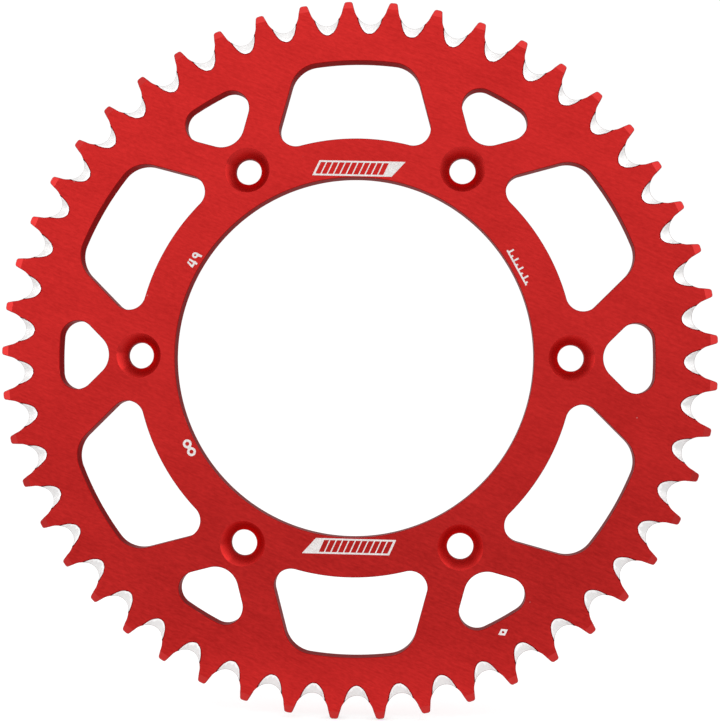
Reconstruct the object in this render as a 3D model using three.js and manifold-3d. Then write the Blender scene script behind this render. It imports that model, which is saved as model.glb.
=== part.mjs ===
// Rear chain sprocket: one machined and anodised aluminium plate, with the marks etched on its outer face.
// Millimetres. The wheel axis is Y, the outer face looks along -Y, and +Z is up. The origin is on the
// axis, halfway through the plate.
import * as THREE from 'three';
import { mergeVertices } from 'three/addons/utils/BufferGeometryUtils.js';
import Module from 'manifold-3d';

// chain
const CHAIN_PITCH = 15.875;
const ROLLER_DIAMETER = 10.16;
const TEETH = 49;

// plate and teeth
const PLATE_THICKNESS = 5.9;
const SEAT_RADIUS = 5.9;                            // arc that a chain roller sits in
const TIP_RADIUS = 126.85;
const TIP_CORNER = 1.0;
const FLANK_ANGLE = THREE.MathUtils.degToRad(17.6); // flank against the middle line of its gap
const FIRST_TOOTH = THREE.MathUtils.degToRad(3.07); // first tooth, from the bolt hole on +X towards +Z
const TIP_BEVEL_WIDTH = 2.8;                        // measured along the radius
const TIP_BEVEL_DEPTH = 1.2;                        // measured through the plate

// mud grooves: one round scoop in the outer face at the foot of every tooth gap
const GROOVE_RADIUS = 4.7;
const GROOVE_SLOPE = THREE.MathUtils.degToRad(29);
const GROOVE_START = 115;                           // where the scoop leaves the face
const GROOVE_LENGTH = 13;
const GROOVE_SEGMENTS = 16;

// hub fit
const BORE_RADIUS = 63.5;
const BOLT_COUNT = 6;
const BOLT_CIRCLE_RADIUS = 76.5;
const BOLT_HOLE_RADIUS = 4.6;
const COUNTERSINK_RADIUS = 8;                       // at the face, and the cone is 90 degrees

// windows: six large ones between the bolt holes, six small ones outboard of them
const WINDOW_OUTER_RADIUS = 105.2;
const LARGE_INNER_RADIUS = 77.4;
const LARGE_SIDE_ANGLE = THREE.MathUtils.degToRad(15);
const LARGE_SIDE_OFFSET = 47.1;                     // axis to side edge, square to the edge
const LARGE_INNER_CORNER = 6;
const LARGE_OUTER_CORNER = 10.5;
const SMALL_SIDE_ANGLE = THREE.MathUtils.degToRad(45);
const SMALL_SIDE_OFFSET = 59.35;
const SMALL_APEX_CORNER = 8.2;
const SMALL_OUTER_CORNER = 6.25;

// etched marks, sizes along and across each mark
const MARK_THICKNESS = 0.1;
const MARK_RING_RADIUS = 66.3;
const BADGE = { length: 33, height: 5.4, slant: 2.4, slots: 11, slotWidth: 1.8, rim: 0.6, radius: 66.6 };
const DIGIT = { height: 3.4, stroke: 0.7, spacing: 3, holeRadius: 0.42 };
const LINK = { length: 6.4, endRadius: 1.6, holeRadius: 0.75, waist: 0.75 };
const SCALE = { length: 14, height: 2.4, ticks: 8, stroke: 0.6 };
const LOT = { width: 3.8, height: 2.6, holeRadius: 0.45, radius: 109 };

// where each mark sits, in degrees from the bolt hole on +X towards +Z
const TOP_BADGE_ANGLE = 88.6;
const BOTTOM_BADGE_ANGLE = 269.5;
const TOOTH_COUNT_ANGLE = 149;
const LINK_ANGLE = 209.6;
const SCALE_ANGLE = 28.7;
const LOT_ANGLE = 299.2;

// how round stretches are divided
const CHORD_ERROR = 0.06;
const LARGEST_FACET_ANGLE = THREE.MathUtils.degToRad(30);

const RED_ANODISED = { color: 0xb01c1e, roughness: 0.38, metalness: 0.75 };
const ETCHED = { color: 0xe8e6e4, roughness: 0.55, metalness: 0.3 };

const FULL_TURN = 2 * Math.PI;
const HALF_TURN = Math.PI;
const QUARTER_TURN = Math.PI / 2;
const HALF_THICKNESS = PLATE_THICKNESS / 2;
const HALF_PITCH_ANGLE = Math.PI / TEETH;
const PITCH_RADIUS = CHAIN_PITCH / 2 / Math.sin(HALF_PITCH_ANGLE);
const ROOT_RADIUS = PITCH_RADIUS - ROLLER_DIAMETER / 2;
const BOLT_STEP = FULL_TURN / BOLT_COUNT;

const wasm = await Module();
wasm.setup();

// ---- outlines, drawn in the plane of the plate: x to the right, y up, the outer face towards the viewer

const onCircle = (radius, angle) => new THREE.Vector2(radius * Math.cos(angle), radius * Math.sin(angle));

function segmentsOf(radius, sweep) {
  const step = Math.min(2 * Math.acos(1 - CHORD_ERROR / radius), LARGEST_FACET_ANGLE);
  return Math.max(2, Math.ceil(Math.abs(sweep) / step));
}

// points of an arc, both ends included
function arc(centre, radius, from, to) {
  const segments = segmentsOf(radius, to - from);
  return Array.from({ length: segments + 1 }, (_, i) =>
    onCircle(radius, from + (to - from) * i / segments).add(centre));
}

// the point at a given distance from the axis whose offset along the direction `angle` is also given
function offsetPoint(angle, offset, distance) {
  const along = Math.sqrt(distance ** 2 - offset ** 2);
  return onCircle(offset, angle).add(onCircle(along, angle + QUARTER_TURN));
}

const mirrored = (points) => points.map((p) => new THREE.Vector2(-p.x, p.y)).reverse();
const turned = (points, angle) => points.map((p) => p.clone().rotateAround(new THREE.Vector2(), angle));

// a loop from its right half, whose first and last points are on the middle line
const closedByMirror = (right) => [...right, ...mirrored(right.slice(1, -1))];

// right half of one tooth gap, its middle line along +y: half the seat, the flank and the tip corner
function gapHalf() {
  const seatCentre = new THREE.Vector2(0, ROOT_RADIUS + SEAT_RADIUS);
  const flankOffset = SEAT_RADIUS - seatCentre.y * Math.sin(FLANK_ANGLE);
  const corner = offsetPoint(-FLANK_ANGLE, flankOffset + TIP_CORNER, TIP_RADIUS - TIP_CORNER);
  return [
    ...arc(seatCentre, SEAT_RADIUS, -QUARTER_TURN, -FLANK_ANGLE),
    ...arc(corner, TIP_CORNER, HALF_TURN - FLANK_ANGLE, corner.angle()),
  ];
}

function toothedOutline() {
  const half = gapHalf();
  const gap = [...mirrored(half), ...half.slice(1)].reverse();
  const points = [];
  for (let i = 0; i < TEETH; i++) {
    const middle = FIRST_TOOTH + (2 * i + 1) * HALF_PITCH_ANGLE;
    points.push(...turned(gap, middle - QUARTER_TURN));
  }
  return points;
}

// windows are drawn with their middle line along +y
function largeWindow() {
  const inner = offsetPoint(LARGE_SIDE_ANGLE, LARGE_SIDE_OFFSET - LARGE_INNER_CORNER,
    LARGE_INNER_RADIUS + LARGE_INNER_CORNER);
  const outer = offsetPoint(LARGE_SIDE_ANGLE, LARGE_SIDE_OFFSET - LARGE_OUTER_CORNER,
    WINDOW_OUTER_RADIUS - LARGE_OUTER_CORNER);
  return closedByMirror([
    ...arc(new THREE.Vector2(), LARGE_INNER_RADIUS, QUARTER_TURN, inner.angle()).slice(0, -1),
    ...arc(inner, LARGE_INNER_CORNER, inner.angle() - HALF_TURN, LARGE_SIDE_ANGLE),
    ...arc(outer, LARGE_OUTER_CORNER, LARGE_SIDE_ANGLE, outer.angle()),
    ...arc(new THREE.Vector2(), WINDOW_OUTER_RADIUS, outer.angle(), QUARTER_TURN).slice(1),
  ]);
}

function smallWindow() {
  const apex = new THREE.Vector2(0, (SMALL_SIDE_OFFSET + SMALL_APEX_CORNER) / Math.cos(SMALL_SIDE_ANGLE));
  const outer = offsetPoint(-SMALL_SIDE_ANGLE, -SMALL_SIDE_OFFSET - SMALL_OUTER_CORNER,
    WINDOW_OUTER_RADIUS - SMALL_OUTER_CORNER);
  return closedByMirror([
    ...arc(apex, SMALL_APEX_CORNER, -QUARTER_TURN, -SMALL_SIDE_ANGLE),
    ...arc(outer, SMALL_OUTER_CORNER, -SMALL_SIDE_ANGLE, outer.angle()),
    new THREE.Vector2(0, WINDOW_OUTER_RADIUS),
  ]);
}

const circleOutline = (centre, radius) => arc(centre, radius, 0, FULL_TURN).slice(0, -1);

const boltCentre = (i) => onCircle(BOLT_CIRCLE_RADIUS, i * BOLT_STEP);

// ---- solids, in the same plane frame, with +z towards the viewer

function extruded(outline, holes, depth, from) {
  const shape = new THREE.Shape(outline);
  shape.holes = holes.map((points) => new THREE.Path(points));
  const geometry = new THREE.ExtrudeGeometry(shape, { depth, bevelEnabled: false });
  return geometry.translate(0, 0, from);
}

// a closed profile of [radius, z] pairs, turned round the plate's axis
function revolved(profile, segments) {
  const points = profile.map(([r, z]) => new THREE.Vector2(r, z));
  return new THREE.LatheGeometry(points, segments).rotateX(QUARTER_TURN);
}

function toSolid(geometry) {
  const bare = geometry.clone();
  bare.deleteAttribute('normal');
  bare.deleteAttribute('uv');
  const merged = mergeVertices(bare, 1e-5);
  return new wasm.Manifold(new wasm.Mesh({
    numProp: 3,
    vertProperties: new Float32Array(merged.attributes.position.array),
    triVerts: new Uint32Array(merged.index.array),
  }));
}

function toGeometry(solid) {
  const mesh = solid.getMesh();
  const geometry = new THREE.BufferGeometry();
  geometry.setAttribute('position', new THREE.BufferAttribute(mesh.vertProperties, 3));
  geometry.setIndex(new THREE.BufferAttribute(mesh.triVerts, 1));
  geometry.computeVertexNormals();
  return geometry;
}

// a flat-sided ring whose cut leaves one plane bevel on every tooth tip
function tipBevelCutter() {
  const widthPerDepth = TIP_BEVEL_WIDTH / TIP_BEVEL_DEPTH;
  const beyond = 2;
  const flat = 1 / Math.cos(HALF_PITCH_ANGLE);
  const start = (TIP_RADIUS - TIP_BEVEL_WIDTH - widthPerDepth) * flat;
  const end = (TIP_RADIUS + beyond) * flat;
  const profile = [
    [start, HALF_THICKNESS + 1],
    [end, HALF_THICKNESS - TIP_BEVEL_DEPTH - beyond / widthPerDepth],
    [end, HALF_THICKNESS + 1],
    [start, HALF_THICKNESS + 1],
  ];
  const middleOfGap = FIRST_TOOTH + HALF_PITCH_ANGLE;
  return revolved(profile, TEETH).rotateZ(middleOfGap - QUARTER_TURN);
}

function countersinkCutter(centre) {
  const above = 1;
  const profile = [
    [0, HALF_THICKNESS - COUNTERSINK_RADIUS],
    [COUNTERSINK_RADIUS + above, HALF_THICKNESS + above],
    [0, HALF_THICKNESS + above],
  ];
  const segments = segmentsOf(BOLT_HOLE_RADIUS, FULL_TURN);
  return revolved(profile, segments).translate(centre.x, centre.y, 0);
}

// a round bar that slopes outwards and back through the plate
function grooveCutter(angle) {
  const bar = new THREE.CylinderGeometry(GROOVE_RADIUS, GROOVE_RADIUS, GROOVE_LENGTH, GROOVE_SEGMENTS);
  bar.translate(0, GROOVE_LENGTH / 2 - 1, GROOVE_RADIUS);
  bar.rotateX(-GROOVE_SLOPE);
  bar.translate(0, GROOVE_START, HALF_THICKNESS);
  return bar.rotateZ(angle - QUARTER_TURN);
}

function plateGeometry() {
  const holes = [circleOutline(new THREE.Vector2(), BORE_RADIUS)];
  for (let i = 0; i < BOLT_COUNT; i++) {
    holes.push(turned(smallWindow(), i * BOLT_STEP - QUARTER_TURN));
    holes.push(turned(largeWindow(), (i + 0.5) * BOLT_STEP - QUARTER_TURN));
    holes.push(circleOutline(boltCentre(i), BOLT_HOLE_RADIUS));
  }
  let plate = toSolid(extruded(toothedOutline(), holes, PLATE_THICKNESS, -HALF_THICKNESS));
  const bevel = tipBevelCutter();
  plate = plate.subtract(toSolid(bevel));
  plate = plate.subtract(toSolid(bevel.clone().rotateY(HALF_TURN).rotateZ(2 * FIRST_TOOTH)));
  for (let i = 0; i < BOLT_COUNT; i++) {
    plate = plate.subtract(toSolid(countersinkCutter(boltCentre(i))));
  }
  for (let i = 0; i < TEETH; i++) {
    plate = plate.subtract(toSolid(grooveCutter(FIRST_TOOTH + (2 * i + 1) * HALF_PITCH_ANGLE)));
  }
  return toGeometry(plate);
}

// ---- etched marks, each drawn about its own centre with its top along +y

const polygon = (pairs) => pairs.map(([x, y]) => new THREE.Vector2(x, y));

// a slanted bar with a pointed end and a row of slanted slots
function badgeOutline() {
  const { length, height, slant } = BADGE;
  const w = length / 2;
  const h = height / 2;
  return polygon([[-w, -h], [w - 2 * slant, -h], [w, h], [-w + slant, h]]);
}

function badgeSlots() {
  const { length, height, slant, slots, slotWidth, rim } = BADGE;
  const h = height / 2 - rim;
  const w = slotWidth / 2;
  const lean = slant * h / height;
  const step = (length - 3 * slant - 2 * rim) / slots;
  return Array.from({ length: slots }, (_, i) => {
    const x = -length / 2 + slant / 2 + rim + (i + 0.5) * step;
    return polygon([[x - w - lean, -h], [x + w - lean, -h], [x + w + lean, h], [x - w + lean, h]]);
  });
}

// the digits' corners are placed as fractions of their height
function digitFour() {
  const { height, stroke } = DIGIT;
  const h = height / 2;
  const left = -0.38 * height;
  const post = 0.1 * height;
  const right = 0.36 * height;
  const bar = -0.28 * height;
  return polygon([
    [post, -h], [post + stroke, -h], [post + stroke, bar], [right, bar], [right, bar + stroke],
    [post + stroke, bar + stroke], [post + stroke, h], [post, h], [post, bar + stroke],
    [left + stroke, bar + stroke], [0, h], [-stroke, h], [left, bar + stroke], [left, bar], [post, bar],
  ]);
}

// the ring at the top of the 9
const nineCentre = () => new THREE.Vector2(0, 0.18 * DIGIT.height);

function digitNine() {
  const { height, stroke } = DIGIT;
  const foot = -height / 2;
  const tail = 0.15 * height;
  const ring = arc(nineCentre(), height / 2 - nineCentre().y, 0, 1.55 * HALF_TURN);
  return [new THREE.Vector2(tail + stroke, foot), ...ring, new THREE.Vector2(tail, foot)];
}

function linkOutline() {
  const { length, endRadius, waist } = LINK;
  const x = length / 2 - endRadius;
  const opening = Math.asin(waist / endRadius);
  const right = arc(new THREE.Vector2(x, 0), endRadius, opening - HALF_TURN, HALF_TURN - opening);
  return [...right, ...turned(right, HALF_TURN)];
}

const linkHoles = () => [-1, 1].map((side) =>
  circleOutline(new THREE.Vector2(side * (LINK.length / 2 - LINK.endRadius), 0), LINK.holeRadius));

// a base line with evenly spaced ticks, every other one long
function scaleOutline() {
  const { length, height, ticks, stroke } = SCALE;
  const end = length / 2;
  const low = -height / 2;
  const bar = low + stroke;
  const points = [[-end, low], [end, low], [end, bar]];
  for (let i = ticks - 1; i >= 0; i--) {
    const x = -end + (i + 0.5) * length / ticks - stroke / 2;
    const top = i % 2 ? 0 : height / 2;
    points.push([x + stroke, bar], [x + stroke, top], [x, top], [x, bar]);
  }
  return polygon([...points, [-end, bar]]);
}

const lotOutline = () => polygon([
  [-LOT.width / 2, 0], [0, -LOT.height / 2], [LOT.width / 2, 0], [0, LOT.height / 2],
]);

// ---- assembly

const sprocket = new THREE.Group();

function addMesh(name, geometry, finish) {
  const mesh = new THREE.Mesh(geometry.rotateX(QUARTER_TURN), new THREE.MeshStandardMaterial(finish));
  mesh.name = name;
  sprocket.add(mesh);
}

// places a mark on the outer face, its top pointing away from the axis, with an optional shift along it
function addMark(name, outline, holes, angleDegrees, shift = 0, radius = MARK_RING_RADIUS) {
  const angle = THREE.MathUtils.degToRad(angleDegrees);
  let mark = toSolid(extruded(outline, [], MARK_THICKNESS, HALF_THICKNESS));
  for (const hole of holes) {
    mark = mark.subtract(toSolid(extruded(hole, [], 3 * MARK_THICKNESS, HALF_THICKNESS - MARK_THICKNESS)));
  }
  const geometry = toGeometry(mark).translate(shift, radius, 0).rotateZ(angle - QUARTER_TURN);
  addMesh(name, geometry, ETCHED);
}

const nineHole = circleOutline(nineCentre(), DIGIT.holeRadius);
const lotHole = circleOutline(new THREE.Vector2(), LOT.holeRadius);

addMesh('sprocket_plate', plateGeometry(), RED_ANODISED);
addMark('badge_top', badgeOutline(), badgeSlots(), TOP_BADGE_ANGLE, 0, BADGE.radius);
addMark('badge_bottom', badgeOutline(), badgeSlots(), BOTTOM_BADGE_ANGLE, 0, BADGE.radius);
addMark('tooth_count_digit_4', digitFour(), [], TOOTH_COUNT_ANGLE, -DIGIT.spacing / 2);
addMark('tooth_count_digit_9', digitNine(), [nineHole], TOOTH_COUNT_ANGLE, DIGIT.spacing / 2);
addMark('chain_link_mark', linkOutline(), linkHoles(), LINK_ANGLE);
addMark('tick_scale_mark', scaleOutline(), [], SCALE_ANGLE);
addMark('lot_mark', lotOutline(), [lotHole], LOT_ANGLE, 0, LOT.radius);

export default sprocket;
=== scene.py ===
"""Looks for the rear chain sprocket: the plate as a fine mesh, its finishes, the studio and the camera.

The plate is drawn in millimetres as complex numbers, x to the right and y up, seen from its outer side.
In the scene the wheel axis is Y, the outer face looks along -Y, and +Z is up.
"""
import math

import bpy
import numpy as np
from mathutils import Matrix, Vector
from mathutils.geometry import delaunay_2d_cdt


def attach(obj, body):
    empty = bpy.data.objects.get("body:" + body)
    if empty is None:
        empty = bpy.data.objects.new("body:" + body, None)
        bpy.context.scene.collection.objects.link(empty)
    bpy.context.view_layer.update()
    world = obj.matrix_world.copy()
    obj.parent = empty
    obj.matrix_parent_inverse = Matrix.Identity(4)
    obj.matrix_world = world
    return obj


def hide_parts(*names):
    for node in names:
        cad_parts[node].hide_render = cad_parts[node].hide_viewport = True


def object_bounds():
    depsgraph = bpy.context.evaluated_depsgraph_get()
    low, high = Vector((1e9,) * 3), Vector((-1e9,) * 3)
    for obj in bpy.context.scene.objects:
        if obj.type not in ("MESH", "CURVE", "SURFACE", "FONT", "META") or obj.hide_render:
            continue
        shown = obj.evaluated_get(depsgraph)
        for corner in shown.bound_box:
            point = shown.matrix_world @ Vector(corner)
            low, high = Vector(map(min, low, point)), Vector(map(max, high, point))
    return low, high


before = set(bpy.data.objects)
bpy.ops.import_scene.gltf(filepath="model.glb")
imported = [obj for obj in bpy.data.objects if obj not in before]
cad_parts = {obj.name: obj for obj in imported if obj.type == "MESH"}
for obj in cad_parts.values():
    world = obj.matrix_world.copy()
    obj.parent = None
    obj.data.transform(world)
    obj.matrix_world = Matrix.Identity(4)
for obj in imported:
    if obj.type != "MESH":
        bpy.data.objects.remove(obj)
cad_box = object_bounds()

MM = 0.001

# chain and teeth, in millimetres and radians, as in the CAD
CHAIN_PITCH = 15.875
ROLLER_DIAMETER = 10.16
TEETH = 49
SEAT_RADIUS = 5.9
TIP_RADIUS = 126.85
TIP_CORNER = 1.0
FLANK_ANGLE = math.radians(17.6)
FIRST_TOOTH = math.radians(3.07)
TIP_BEVEL_WIDTH = 2.8
TIP_BEVEL_DEPTH = 1.2
PLATE_THICKNESS = 5.9                              # assumed from the chain standard, not measured

# mud grooves
GROOVE_RADIUS = 4.7
GROOVE_SLOPE = math.radians(29)
GROOVE_START = 115.0

# hub fit
BORE_RADIUS = 63.5
BOLT_COUNT = 6
BOLT_CIRCLE_RADIUS = 76.5
BOLT_HOLE_RADIUS = 4.6
COUNTERSINK_RADIUS = 8

# windows
WINDOW_OUTER_RADIUS = 105.2
LARGE_INNER_RADIUS = 77.4
LARGE_SIDE_ANGLE = math.radians(15)
LARGE_SIDE_OFFSET = 47.1
LARGE_INNER_CORNER = 6
LARGE_OUTER_CORNER = 10.5
SMALL_SIDE_ANGLE = math.radians(45)
SMALL_SIDE_OFFSET = 59.35
SMALL_APEX_CORNER = 8.2
SMALL_OUTER_CORNER = 6.25

# fineness of the visual mesh
EDGE_BREAK = 0.22
LIP_BREAK = 0.42
CHORD_ERROR = 0.004
GROOVE_STRIPS = 24
SHARP_ANGLE = math.radians(20)

# camera, in millimetres and radians
CAMERA_PLACE = (33.1, -430, -17.3)
CAMERA_YAW = math.radians(-4.075)
CAMERA_PITCH = math.radians(2.127)
CAMERA_ROLL = math.radians(0.533)
CAMERA_LENS = 60.88
SENSOR_WIDTH = 36

# studio
BACKGROUND_STRENGTH = 1.05
SHADE_MIDDLE = 0.9                                 # brightness straight in front of the plate
SHADE_TILT = (-0.22, 0, 0.85)                      # how it changes with the direction
SHADE_RANGE = (0.4, 1.15)
# painted light: the floor glows behind the plate so that it looks as white as the surroundings
FLOOR_GLOW = 0.65                                  # of the floor behind the plate
GLOW_START = -0.18
GLOW_FULL = -0.01
FLOOR_FADE = (0.5, 1.6)                            # distances over which it turns transparent
FLOOR_HALF_SIDE = 3.0
BACKGROUND_SPAN = (-0.5, 0.3)                      # Y of the directions between the shade and the white
SOFTBOXES = [                                      # name, place, width and height in metres, watts
    ("right_softbox", (1.0, -0.45, 0.15), (0.6, 2.4), 4.0),
    ("left_softbox", (-0.85, -0.5, 0.1), (0.5, 0.9), 1.7),
    ("top_softbox", (0.0, -0.6, 0.85), (1.0, 0.5), 1.3),
]

# finishes: base colours, some with painted light or shade, then metals' tints at grazing angles, in linear
# red, green, blue and alpha
RED = (0.63, 0.027, 0.025, 1)
WORKED_RED = (0.47, 0.017, 0.016, 1)
BEVEL_RED = (0.58, 0.036, 0.034, 1)
DEEP_RED = (0.34, 0.008, 0.008, 1)
# painted shade: the darkest red, on the groove lips and the walls
SHADED_RED = (0.17, 0.008, 0.008, 1)
# the lighter of the walls' two reds, still far darker than the face: painted shade
SHADED_WALL_RED = (0.26, 0.02, 0.02, 1)
WORN_RED = (0.62, 0.05, 0.045, 1)
WALL_SHEEN = (0.5, 0.4, 0.4, 1)
CONE_SHEEN = (0.3, 0.05, 0.05, 1)
BEVEL_SHEEN = (0.8, 0.4, 0.4, 1)
PALE_SPECK = (0.75, 0.42, 0.40, 1)
ALUMINIUM = (0.78, 0.77, 0.765, 1)
# lighter aluminium: a painted highlight just below each groove's lip
PAINTED_HIGHLIGHT_ALUMINIUM = (0.95, 0.95, 0.95, 1)
ETCHED = (0.84, 0.82, 0.81, 1)
# darker greys: painted shade on the grooves' edges above the roots of the gaps
SHADED_EDGE_ALUMINIUM = ((0.42, 0.38, 0.38, 1), (0.52, 0.48, 0.47, 1))
FROSTED = (0.66, 0.6, 0.59, 1)
FLOOR_TONES = ((0.39, 0.39, 0.39, 1), (0.42, 0.42, 0.42, 1))
WHITE = (1, 1, 1, 1)

# surface detail, in metres and radians, with the grain's noises per metre along its three axes
GRAIN_TURN = math.radians(-22)
FINE_GRAIN = (600, 600, 1700)
GRAIN_STREAKS = (110, 300, 1100)
GRAIN_CLOUDS = (28, 28, 60)
RING_SPACING = 0.0002
# depths below the face where the grooves' painted highlight is full and where it has faded out
HIGHLIGHT_FULL_DEPTH = 0.0005                              # below the face, where a groove's bright lip ends
HIGHLIGHT_GONE_DEPTH = 0.0009

QUARTER_TURN = math.pi / 2
FULL_TURN = 2 * math.pi
HALF_THICKNESS = PLATE_THICKNESS / 2
TOOTH_STEP = FULL_TURN / TEETH
PITCH_RADIUS = CHAIN_PITCH / 2 / math.sin(TOOTH_STEP / 2)
ROOT_RADIUS = PITCH_RADIUS - ROLLER_DIAMETER / 2
GROOVE_LIP_LENGTH = GROOVE_RADIUS / math.sin(GROOVE_SLOPE)
GROOVE_CENTRE = 1j * (GROOVE_START + GROOVE_LIP_LENGTH)


# ---- outlines

def on_circle(radius, angle):
    return radius * np.exp(1j * angle)


def arc(centre, radius, start, end):
    """Points of an arc, both ends included, close enough to keep the chord error."""
    step = 2 * math.acos(1 - CHORD_ERROR / radius)
    count = max(2, math.ceil(abs(end - start) / step))
    return centre + on_circle(radius, np.linspace(start, end, count + 1))


def circle(centre, radius):
    return arc(centre, radius, 0, FULL_TURN)[:-1]


def offset_point(angle, offset, distance):
    """The point at a distance from the axis whose offset along the direction `angle` is also given."""
    along = math.sqrt(distance ** 2 - offset ** 2)
    return complex(offset, along) * on_circle(1, angle)


def mirrored(points):
    return -np.conj(points)[::-1]


def closed_by_mirror(right):
    """A loop from its right half, whose first and last points are on the middle line."""
    return np.concatenate([right, mirrored(right[1:-1])])


def gap_half():
    """Right half of a tooth gap, its middle line along +y: half the seat, the flank and the tip corner."""
    seat_centre = 1j * (ROOT_RADIUS + SEAT_RADIUS)
    flank_offset = SEAT_RADIUS - seat_centre.imag * math.sin(FLANK_ANGLE)
    corner = offset_point(-FLANK_ANGLE, flank_offset + TIP_CORNER, TIP_RADIUS - TIP_CORNER)
    return np.concatenate([
        arc(seat_centre, SEAT_RADIUS, -QUARTER_TURN, -FLANK_ANGLE),
        arc(corner, TIP_CORNER, math.pi - FLANK_ANGLE, np.angle(corner)),
    ])


def gap_turn(i):
    """Turns a drawing whose middle line is +y to the middle of gap i."""
    return on_circle(1, FIRST_TOOTH + (i + 0.5) * TOOTH_STEP - QUARTER_TURN)


def toothed_outline():
    half = gap_half()
    gap = np.concatenate([mirrored(half), half[1:]])[::-1]
    return np.concatenate([gap * gap_turn(i) for i in range(TEETH)])


def large_window():
    inner = offset_point(LARGE_SIDE_ANGLE, LARGE_SIDE_OFFSET - LARGE_INNER_CORNER,
                         LARGE_INNER_RADIUS + LARGE_INNER_CORNER)
    outer = offset_point(LARGE_SIDE_ANGLE, LARGE_SIDE_OFFSET - LARGE_OUTER_CORNER,
                         WINDOW_OUTER_RADIUS - LARGE_OUTER_CORNER)
    return closed_by_mirror(np.concatenate([
        arc(0, LARGE_INNER_RADIUS, QUARTER_TURN, np.angle(inner))[:-1],
        arc(inner, LARGE_INNER_CORNER, np.angle(inner) - math.pi, LARGE_SIDE_ANGLE),
        arc(outer, LARGE_OUTER_CORNER, LARGE_SIDE_ANGLE, np.angle(outer)),
        arc(0, WINDOW_OUTER_RADIUS, np.angle(outer), QUARTER_TURN)[1:],
    ]))


def small_window():
    apex = 1j * (SMALL_SIDE_OFFSET + SMALL_APEX_CORNER) / math.cos(SMALL_SIDE_ANGLE)
    outer = offset_point(-SMALL_SIDE_ANGLE, -SMALL_SIDE_OFFSET - SMALL_OUTER_CORNER,
                         WINDOW_OUTER_RADIUS - SMALL_OUTER_CORNER)
    return closed_by_mirror(np.concatenate([
        arc(apex, SMALL_APEX_CORNER, -QUARTER_TURN, -SMALL_SIDE_ANGLE),
        arc(outer, SMALL_OUTER_CORNER, -SMALL_SIDE_ANGLE, np.angle(outer)),
        arc(0, WINDOW_OUTER_RADIUS, np.angle(outer), QUARTER_TURN)[1:],
    ]))


def inset(loop, distance):
    """Moves every point of a counter-clockwise loop inwards."""
    along = np.roll(loop, -1) - np.roll(loop, 1)
    return loop + 1j * distance * along / abs(along)


BOLT_ANGLES = np.arange(BOLT_COUNT) * FULL_TURN / BOLT_COUNT
BOLT_CENTRES = on_circle(BOLT_CIRCLE_RADIUS, BOLT_ANGLES)


def hole_loops():
    """Every hole through the plate, counter-clockwise."""
    loops = [circle(0, BORE_RADIUS)]
    for angle, centre in zip(BOLT_ANGLES, BOLT_CENTRES):
        half_step = FULL_TURN / BOLT_COUNT / 2
        loops.append(small_window() * on_circle(1, angle - QUARTER_TURN))
        loops.append(large_window() * on_circle(1, angle + half_step - QUARTER_TURN))
        loops.append(circle(centre, BOLT_HOLE_RADIUS))
    return loops


# ---- heights of the two faces above the plate's middle plane

def bevel_height(points):
    """The flat facet on each tooth tip, extended over the whole drawing."""
    tooth = np.round((np.angle(points) - FIRST_TOOTH) / TOOTH_STEP)
    outward = (points * on_circle(1, -FIRST_TOOTH - tooth * TOOTH_STEP)).real
    beyond = outward - (TIP_RADIUS - TIP_BEVEL_WIDTH)
    return HALF_THICKNESS - beyond * TIP_BEVEL_DEPTH / TIP_BEVEL_WIDTH


def from_bolt_hole(points):
    """Each point's place relative to the nearest bolt hole's centre."""
    step = FULL_TURN / BOLT_COUNT
    nearest = np.round(np.angle(points) / step)
    return points - on_circle(BOLT_CIRCLE_RADIUS, nearest * step)


def countersink_height(points):
    """A 90 degree cone, which is as deep as it is wide."""
    return HALF_THICKNESS - (COUNTERSINK_RADIUS - abs(from_bolt_hole(points)))


def nearest_gap_turn(points):
    return gap_turn(np.floor((np.angle(points) - FIRST_TOOTH) / TOOTH_STEP))


def in_gap(points):
    """The points as they are in a drawing of the nearest gap, its middle line along +y."""
    return points / nearest_gap_turn(points)


def groove_height(points):
    """The lower side of the round cutter that sank each groove. It is infinite beside the grooves."""
    local = in_gap(points)
    across = np.minimum(abs(local.real), GROOVE_RADIUS)
    rise = (GROOVE_RADIUS - np.sqrt(GROOVE_RADIUS ** 2 - across ** 2)) / math.cos(GROOVE_SLOPE)
    height = HALF_THICKNESS - (local.imag - GROOVE_START) * math.tan(GROOVE_SLOPE) + rise
    return np.where(abs(local.real) < GROOVE_RADIUS, height, np.inf)


def groove_normals(points):
    """Scene directions square to the grooves' surface. Long thin triangles would average them unevenly."""
    steepest = 0.98 * GROOVE_RADIUS
    across = np.clip(in_gap(points).real, -steepest, steepest)
    climb = across / np.sqrt(GROOVE_RADIUS ** 2 - across ** 2) / math.cos(GROOVE_SLOPE)
    uphill = (climb - 1j * math.tan(GROOVE_SLOPE)) * nearest_gap_turn(points)
    normals = np.stack([-uphill.real, -np.ones(len(points)), -uphill.imag], axis=1)
    return normals / np.linalg.norm(normals, axis=1, keepdims=True)


def lip_height(points):
    """The broken edge along each groove's lip. It is infinite inside the lip."""
    from_centre = in_gap(points) - GROOVE_CENTRE
    reach = abs(from_centre.real / GROOVE_RADIUS + 1j * from_centre.imag / GROOVE_LIP_LENGTH)
    outside = abs(from_centre) * (1 - 1 / reach)
    return np.where(outside > -1e-6, HALF_THICKNESS - (LIP_BREAK - outside), np.inf)


FLAT, BEVEL, COUNTERSINK, GROOVE, LIP = range(5)


def front_heights(points):
    """The height that each kind of surface has over the points. The lowest one is the plate's."""
    flat = np.full(len(points), HALF_THICKNESS)
    return np.stack([
        flat, bevel_height(points), countersink_height(points), groove_height(points), lip_height(points),
    ])


def back_height(points):
    return np.minimum(HALF_THICKNESS, bevel_height(points))


# ---- the plate's mesh

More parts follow.
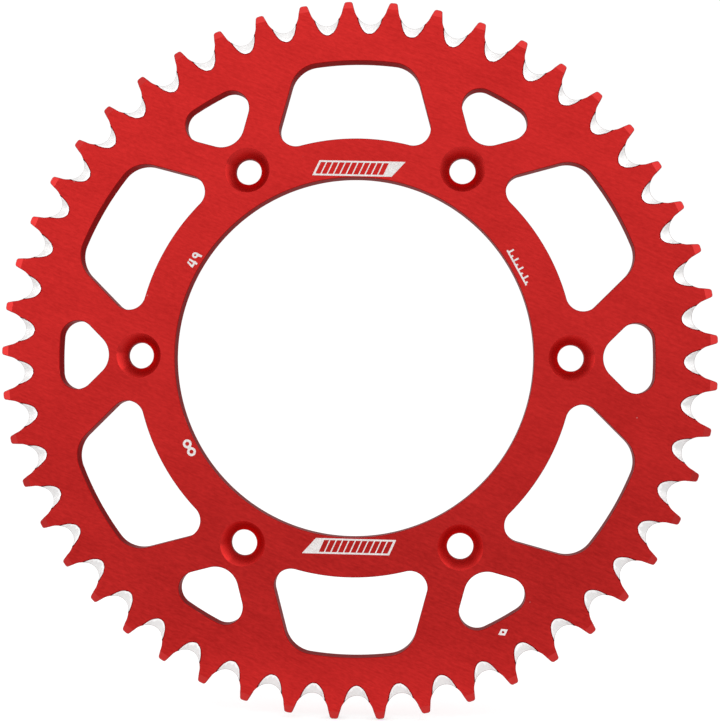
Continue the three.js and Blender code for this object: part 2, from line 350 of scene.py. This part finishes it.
class Drawing:
    """Points and the lines between them, for a triangulation that keeps every line."""

    def __init__(self):
        self.points = []
        self.lines = []

    def path(self, points, closed=False):
        first = len(self.points)
        count = len(points)
        self.points.extend(Vector((p.real, p.imag)) for p in points)
        self.lines.extend((first + i, first + i + 1) for i in range(count - 1))
        if closed:
            self.lines.append((first + count - 1, first))

    def triangles(self):
        merge_distance = 1e-5
        found = delaunay_2d_cdt(self.points, self.lines, [], 0, merge_distance)
        corners = np.array([complex(*p) for p in found[0]])
        return corners, np.array(found[2])


def draw_bevel_lines(drawing):
    reach = 4
    line = complex(TIP_RADIUS - TIP_BEVEL_WIDTH, 0) + 1j * np.array([-reach, reach])
    for i in range(TEETH):
        drawing.path(line * on_circle(1, FIRST_TOOTH + i * TOOTH_STEP))


def draw_groove_lines(drawing):
    """Each groove's lip on the face, and the straight lines that run down it."""
    t = np.linspace(-QUARTER_TURN, QUARTER_TURN, GROOVE_STRIPS + 1)
    from_centre = GROOVE_RADIUS * np.sin(t) - 1j * GROOVE_LIP_LENGTH * np.cos(t)
    lip = GROOVE_CENTRE + from_centre
    broken = lip + LIP_BREAK * from_centre / abs(from_centre)
    outer_end = ROOT_RADIUS + SEAT_RADIUS
    for i in range(TEETH):
        drawing.path(lip * gap_turn(i))
        drawing.path(broken * gap_turn(i))
        for start in lip[1:-1]:
            if start.imag < outer_end:
                drawing.path(np.array([start, complex(start.real, outer_end)]) * gap_turn(i))


def inside(points, loops):
    """Whether each point has an odd number of loop edges to its right."""
    odd = np.zeros(len(points), bool)
    for loop in loops:
        after = np.roll(loop, -1)
        for a, b in zip(loop, after):
            spans = (a.imag > points.imag) != (b.imag > points.imag)
            rows = np.flatnonzero(spans)
            cross = a.real + (points.imag[rows] - a.imag) * (b.real - a.real) / (b.imag - a.imag)
            odd[rows] ^= points.real[rows] < cross
    return odd


def rim_edges(triangles):
    """Edges that only one triangle has, each with the material on its left."""
    edges = np.concatenate([triangles[:, [0, 1]], triangles[:, [1, 2]], triangles[:, [2, 0]]])
    known = set(map(tuple, edges.tolist()))
    return [(a, b) for a, b in known if (b, a) not in known]


def in_scene(points, height, side):
    """Scene places of points on one face: side is -1 for the outer face and 1 for the back."""
    return np.stack([points.real, side * height, points.imag], axis=1) * MM


def plate_drawing():
    outer = toothed_outline()
    holes = hole_loops()
    drawing = Drawing()
    drawing.path(outer, closed=True)
    drawing.path(inset(outer, EDGE_BREAK), closed=True)
    for hole in holes:
        drawing.path(hole, closed=True)
        drawing.path(inset(hole, -EDGE_BREAK), closed=True)
    for centre in BOLT_CENTRES:
        drawing.path(circle(centre, COUNTERSINK_RADIUS), closed=True)
    draw_bevel_lines(drawing)
    draw_groove_lines(drawing)
    points, triangles = drawing.triangles()
    middles = points[triangles].mean(axis=1)
    return points, triangles[inside(middles, [outer] + holes)]


def build_plate(materials):
    """materials: one for each kind of surface, then for broken edges, the grooves' edges and the walls."""
    points, triangles = plate_drawing()
    count = len(points)
    edges = rim_edges(triangles)
    on_rim = np.zeros(count, bool)
    on_rim[[a for a, b in edges]] = True
    lowered = np.where(on_rim, EDGE_BREAK, 0)

    front = front_heights(points).min(axis=0) - lowered
    back = back_height(points) - lowered
    places = np.concatenate([in_scene(points, front, -1), in_scene(points, back, 1)])

    walls = [(b, a, a + count, b + count) for a, b in edges]
    faces = triangles.tolist() + (triangles[:, ::-1] + count).tolist() + walls

    middles = points[triangles].mean(axis=1)
    kinds = front_heights(middles).argmin(axis=0)
    back_kinds = np.where(bevel_height(middles) < HALF_THICKNESS, BEVEL, FLAT)
    broken = on_rim[triangles].any(axis=1)
    edge_slot, groove_edge_slot, wall_slot = range(LIP + 1, LIP + 4)
    front_slots = np.where(broken, np.where(kinds == GROOVE, groove_edge_slot, edge_slot), kinds)
    back_slots = np.where(broken, edge_slot, back_kinds)
    slots = np.concatenate([front_slots, back_slots, np.full(len(walls), wall_slot)])

    mesh = bpy.data.meshes.new("plate_visual")
    mesh.from_pydata(places, [], faces)
    for material in materials:
        mesh.materials.append(material)
    mesh.polygons.foreach_set("material_index", slots.astype(np.int32))
    offsets = np.tile(in_scene(from_bolt_hole(points), np.zeros(count), 1), (2, 1))
    mesh.attributes.new("from_hole", "FLOAT_VECTOR", "POINT").data.foreach_set("vector", offsets.ravel())
    mesh.shade_smooth()
    mesh.set_sharp_from_angle(angle=SHARP_ANGLE)
    front_corners = triangles.ravel()
    in_groove = np.repeat(front_slots == GROOVE, 3)
    corner_normals = np.zeros((len(mesh.loops), 3))                # a zero keeps the smooth normal
    corner_normals[np.flatnonzero(in_groove)] = groove_normals(points)[front_corners[in_groove]]
    mesh.normals_split_custom_set(corner_normals.tolist())
    plate = bpy.data.objects.new("plate_visual", mesh)
    bpy.context.collection.objects.link(plate)
    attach(plate, "root")
    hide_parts("sprocket_plate")
    return plate


# ---- materials

class Nodes:
    """A node tree, with short helpers for the nodes used here."""

    def __init__(self, tree):
        self.tree = tree

    def add(self, kind, settings=None, **inputs):
        """A new node. Settings are its properties, and inputs its sockets: a value or an output."""
        node = self.tree.nodes.new(kind)
        for key, value in (settings or {}).items():
            setattr(node, key, value)
        for key, value in inputs.items():
            self.feed(node.inputs[key.replace("_", " ")], value)
        return node

    def feed(self, socket, value):
        if isinstance(value, bpy.types.NodeSocket):
            self.tree.links.new(value, socket)
        else:
            socket.default_value = value

    def place(self, turn=0.0, stretch=(1, 1, 1)):
        """Object coordinates, turned about the wheel axis and then stretched."""
        source = self.add("ShaderNodeTexCoord").outputs["Object"]
        turned = self.add("ShaderNodeMapping", Vector=source, Rotation=(0, turn, 0))
        return self.add("ShaderNodeMapping", Vector=turned.outputs[0], Scale=stretch).outputs[0]

    def noise(self, vector, scale, detail=3.0, roughness=0.5):
        node = self.add("ShaderNodeTexNoise", Vector=vector, Scale=scale, Detail=detail, Roughness=roughness)
        return node.outputs["Fac"]

    def remap(self, value, low, high, to_low, to_high):
        node = self.add("ShaderNodeMapRange", Value=value)
        for key, bound in (("From Min", low), ("From Max", high), ("To Min", to_low), ("To Max", to_high)):
            node.inputs[key].default_value = bound
        return node.outputs[0]

    def spread(self, noise, to_low, to_high):
        """Noise that mostly keeps between 0.3 and 0.7, spread over another range."""
        return self.remap(noise, 0.3, 0.7, to_low, to_high)

    def maths(self, operation, a, b):
        node = self.add("ShaderNodeMath", {"operation": operation})
        self.feed(node.inputs[0], a)
        self.feed(node.inputs[1], b)
        return node.outputs[0]

    def blend(self, factor, a, b):
        """A colour mix from a, at factor 0, to b."""
        colour_a, colour_b, colour_result = 6, 7, 2
        node = self.add("ShaderNodeMix", {"data_type": "RGBA"})
        self.feed(node.inputs["Factor"], factor)
        self.feed(node.inputs[colour_a], a)
        self.feed(node.inputs[colour_b], b)
        return node.outputs[colour_result]

    def bump(self, height, distance):
        return self.add("ShaderNodeBump", Height=height, Distance=distance, Strength=1.0).outputs[0]


class Material(Nodes):
    """A material around one Principled shader."""

    def __init__(self, name):
        self.material = bpy.data.materials.new(name)
        self.material.use_nodes = True
        super().__init__(self.material.node_tree)

    def finish(self, **inputs):
        shader = self.tree.nodes["Principled BSDF"]
        for key, value in inputs.items():
            self.feed(shader.inputs[key.replace("_", " ")], value)
        return self.material


def grain(nodes):
    """The fine directional grain that the sheet was brushed with before it was cut."""
    fine = nodes.noise(nodes.place(GRAIN_TURN, FINE_GRAIN), 1.0, detail=4)
    streaks = nodes.noise(nodes.place(GRAIN_TURN, GRAIN_STREAKS), 1.0, detail=3)
    return nodes.maths("ADD", nodes.maths("MULTIPLY", fine, 0.6), nodes.maths("MULTIPLY", streaks, 0.4))


def specks(nodes, per_metre, size, seed):
    """Sparse round dots: 1 in a dot and 0 elsewhere. Only the cells above a threshold have one."""
    threshold = 0.82
    full_inside = 0.6 * size
    vector = nodes.place()
    shifted = nodes.add("ShaderNodeMapping", Vector=vector, Location=(seed, 0, seed))
    cell = nodes.add("ShaderNodeTexVoronoi", Vector=shifted.outputs[0], Scale=per_metre)
    near = nodes.remap(cell.outputs["Distance"], size, full_inside, 0, 1)
    chosen = nodes.add("ShaderNodeSeparateColor", Color=cell.outputs["Color"]).outputs[0]
    return nodes.maths("MULTIPLY", near, nodes.maths("GREATER_THAN", chosen, threshold))


def brushed_face():
    nodes = Material("red_anodised_brushed")
    lines = grain(nodes)
    clouds = nodes.noise(nodes.place(GRAIN_TURN, GRAIN_CLOUDS), 1.0, detail=2)
    tone = nodes.maths("ADD", nodes.remap(lines, 0.33, 0.66, 0, 0.85), nodes.spread(clouds, -0.1, 0.25))
    colour = nodes.blend(tone, WORKED_RED, RED)
    colour = nodes.blend(nodes.maths("MULTIPLY", specks(nodes, 110, 0.035, 3.7), 0.35), colour, PALE_SPECK)
    colour = nodes.blend(nodes.maths("MULTIPLY", specks(nodes, 75, 0.03, 8.2), 0.5), colour, DEEP_RED)
    return nodes.finish(
        Base_Color=colour, Metallic=1.0, Roughness=nodes.spread(lines, 0.34, 0.44),
        Anisotropic=0.35, Anisotropic_Rotation=GRAIN_TURN / FULL_TURN,
        Normal=nodes.bump(lines, 0.000006),
    )


def turned_finish(name, colour, sheen, outwards, roughness):
    """Anodised metal with the fine rings of a turning tool.

    outwards: a function that adds the nodes for the vector from the centre of the rings.
    """
    nodes = Material(name)
    from_centre = outwards(nodes)
    radius = nodes.add("ShaderNodeVectorMath", {"operation": "LENGTH"}, Vector=from_centre).outputs["Value"]
    rings = nodes.add(
        "ShaderNodeTexNoise", {"noise_dimensions": "1D"}, W=radius, Scale=1 / RING_SPACING, Detail=2.0,
    )
    mottle = nodes.noise(nodes.place(), 900.0)
    dark = tuple(c * 0.8 for c in colour[:3]) + (1,)
    tone = nodes.maths(
        "ADD", nodes.spread(rings.outputs["Fac"], 0, 0.6), nodes.spread(mottle, 0, 0.4),
    )
    return nodes.finish(
        Base_Color=nodes.blend(tone, dark, colour), Metallic=1.0, Roughness=roughness, Specular_Tint=sheen,
        Anisotropic=0.7, Tangent=from_centre,
    )


def from_hole(nodes):
    return nodes.add("ShaderNodeAttribute", {"attribute_name": "from_hole"}).outputs["Vector"]


def from_axis(nodes):
    return nodes.place(0, (1, 0, 1))


# Both reds of the walls are far darker than the face's red: painted shade, varied by the milling passes and a
# mottle.
def milled_wall():
    nodes = Material("red_anodised_milled")
    passes = nodes.noise(nodes.place(0, (60, 2600, 60)), 1.0, detail=2)
    mottle = nodes.noise(nodes.place(), 700.0)
    tone = nodes.maths("ADD", nodes.spread(passes, 0, 0.6), nodes.spread(mottle, 0, 0.4))
    return nodes.finish(
        Base_Color=nodes.blend(tone, SHADED_RED, SHADED_WALL_RED), Metallic=1.0, Roughness=0.36,
        Specular_Tint=WALL_SHEEN, Normal=nodes.bump(passes, 0.00001),
    )


def broken_edge():
    """The narrow deburred edge, where the anodising is thin and rubbed through in places."""
    nodes = Material("red_anodised_edge")
    patch_noise = nodes.noise(nodes.place(), 260.0, detail=5)
    rubbed = nodes.remap(patch_noise, 0.62, 0.74, 0, 0.5)
    return nodes.finish(
        Base_Color=nodes.blend(rubbed, DEEP_RED, WORN_RED), Metallic=1.0, Roughness=0.4,
    )


def groove_lip():
    """The thin line of painted shade where each groove's lip is broken, varied at random by a noise."""
    nodes = Material("red_anodised_lip")
    patch_noise = nodes.noise(nodes.place(), 420.0)
    return nodes.finish(
        Base_Color=nodes.blend(patch_noise, SHADED_RED, DEEP_RED), Metallic=1.0, Roughness=0.45,
        Specular_Tint=CONE_SHEEN,
    )


def bare_groove():
    """Aluminium milled after anodising, with faint cutter marks. It is lightest just below the lip: a painted
    highlight that fades out deeper in the groove.
    """
    nodes = Material("bare_milled_aluminium")
    place = nodes.place()
    marks = nodes.noise(place, 1500.0, detail=3)
    height = nodes.add("ShaderNodeSeparateXYZ", Vector=place).outputs["Y"]
    below_face = nodes.maths("ADD", height, HALF_THICKNESS * MM)
    depth = nodes.remap(below_face, HIGHLIGHT_FULL_DEPTH, HIGHLIGHT_GONE_DEPTH, 0, 1)
    tone = nodes.maths("ADD", depth, nodes.spread(marks, -0.06, 0.06))
    return nodes.finish(
        Base_Color=nodes.blend(tone, PAINTED_HIGHLIGHT_ALUMINIUM, ALUMINIUM), Metallic=0.5,
        Roughness=nodes.spread(marks, 0.4, 0.46), Normal=nodes.bump(marks, 0.000001),
    )


def groove_edge():
    """The thin edge that the groove leaves above the root of the gap, darker than the groove: painted shade,
    varied at random.
    """
    nodes = Material("bare_aluminium_edge")
    shade_variation = nodes.noise(nodes.place(), 500.0)
    return nodes.finish(
        Base_Color=nodes.blend(shade_variation, *SHADED_EDGE_ALUMINIUM), Metallic=0.8, Roughness=0.5,
    )


def etched_mark():
    """Laser etching through the colour to the bare metal: pale, matt and finely frosted."""
    nodes = Material("etched_mark_frosted")
    frost = nodes.noise(nodes.place(), 2200.0, detail=3)
    return nodes.finish(
        Base_Color=nodes.blend(nodes.remap(frost, 0.35, 0.65, 0, 1), FROSTED, ETCHED),
        Metallic=0.25, Roughness=0.55, Normal=nodes.bump(frost, 0.000006),
    )


# ---- studio

def add_floor():
    """A seamless grey floor that fades into the pale surroundings. Behind the plate it glows: painted light
    that makes it as pale as the surroundings there.
    """
    nodes = Material("studio_paper")
    place = nodes.place()
    mottle = nodes.noise(place, 40.0)
    distance = nodes.add("ShaderNodeVectorMath", {"operation": "LENGTH"}, Vector=place).outputs["Value"]
    depth = nodes.add("ShaderNodeSeparateXYZ", Vector=place).outputs["Y"]
    nodes.finish(
        Base_Color=nodes.blend(mottle, *FLOOR_TONES),
        Roughness=0.9, Specular_IOR_Level=0.1,
        # painted light: the floor glows behind the plate
        Emission_Color=WHITE,
        Emission_Strength=nodes.remap(depth, GLOW_START, GLOW_FULL, 0, FLOOR_GLOW),
        Alpha=nodes.remap(distance, FLOOR_FADE[0], FLOOR_FADE[1], 1, 0),
    )
    level = cad_box[0][2]
    corners = [(-1, -1), (1, -1), (1, 1), (-1, 1)]
    mesh = bpy.data.meshes.new("studio_floor")
    places = [(x * FLOOR_HALF_SIDE, y * FLOOR_HALF_SIDE, level) for x, y in corners]
    mesh.from_pydata(places, [], [(0, 1, 2, 3)])
    mesh.materials.append(nodes.material)
    floor = bpy.data.objects.new("studio_floor", mesh)
    bpy.context.collection.objects.link(floor)


def add_light(name, place, size, power):
    """A rectangular soft light that faces the wheel axis."""
    light = bpy.data.lights.new(name, "AREA")
    light.shape = "RECTANGLE"
    light.size, light.size_y = size
    light.energy = power
    lamp = bpy.data.objects.new(name, light)
    lamp.location = place
    lamp.rotation_euler = Vector(place).to_track_quat("Z", "Y").to_euler()
    lamp.visible_camera = False
    bpy.context.collection.objects.link(lamp)


def light_studio():
    """White surroundings behind the plate, and in front of it a shade that is brightest at the upper left."""
    world = bpy.data.worlds.new("studio_world")
    bpy.context.scene.world = world
    world.use_nodes = True
    nodes = Nodes(world.node_tree)
    direction = nodes.add("ShaderNodeTexCoord").outputs["Generated"]
    tilt = nodes.add("ShaderNodeVectorMath", {"operation": "DOT_PRODUCT"})
    nodes.feed(tilt.inputs[0], direction)
    nodes.feed(tilt.inputs[1], SHADE_TILT)
    shade = nodes.remap(tilt.outputs["Value"], -1, 1, SHADE_MIDDLE - 1, SHADE_MIDDLE + 1)
    shade = nodes.maths("MINIMUM", nodes.maths("MAXIMUM", shade, SHADE_RANGE[0]), SHADE_RANGE[1])
    forward = nodes.add("ShaderNodeSeparateXYZ", Vector=direction).outputs["Y"]
    behind = nodes.remap(forward, *BACKGROUND_SPAN, 0, 1)
    strength = nodes.add("ShaderNodeMix", {"data_type": "FLOAT"})
    nodes.feed(strength.inputs["Factor"], behind)
    nodes.feed(strength.inputs["A"], shade)
    nodes.feed(strength.inputs["B"], BACKGROUND_STRENGTH)
    nodes.feed(world.node_tree.nodes["Background"].inputs["Color"], WHITE)
    nodes.feed(world.node_tree.nodes["Background"].inputs["Strength"], strength.outputs[0])
    for name, place, size, power in SOFTBOXES:
        add_light(name, place, size, power)


def add_camera():
    forward = Vector((
        math.sin(CAMERA_YAW) * math.cos(CAMERA_PITCH),
        math.cos(CAMERA_YAW) * math.cos(CAMERA_PITCH),
        math.sin(CAMERA_PITCH),
    ))
    level_right = forward.cross(Vector((0, 0, 1))).normalized()
    right = Matrix.Rotation(-CAMERA_ROLL, 3, forward) @ level_right
    up = right.cross(forward)
    data = bpy.data.cameras.new("camera")
    data.sensor_fit = "HORIZONTAL"
    data.sensor_width = SENSOR_WIDTH
    data.lens = CAMERA_LENS
    camera = bpy.data.objects.new("camera", data)
    turn = Matrix((right, up, -forward)).transposed()
    camera.matrix_world = Matrix.Translation(Vector(CAMERA_PLACE) * MM) @ turn.to_4x4()
    bpy.context.collection.objects.link(camera)
    bpy.context.scene.camera = camera


# ---- assembly

anodised_bevel = turned_finish("red_anodised_turned", BEVEL_RED, BEVEL_SHEEN, from_axis, 0.32)
countersunk = turned_finish("red_anodised_countersink", RED, CONE_SHEEN, from_hole, 0.26)
edge = broken_edge()
build_plate([
    brushed_face(), anodised_bevel, countersunk, bare_groove(), groove_lip(),
    edge, groove_edge(), milled_wall(),
])

mark_material = etched_mark()
for node_name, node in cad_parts.items():
    if node_name != "sprocket_plate":
        node.data.materials.clear()
        node.data.materials.append(mark_material)

add_floor()
light_studio()
add_camera()
bpy.context.scene.view_settings.view_transform = "Standard"
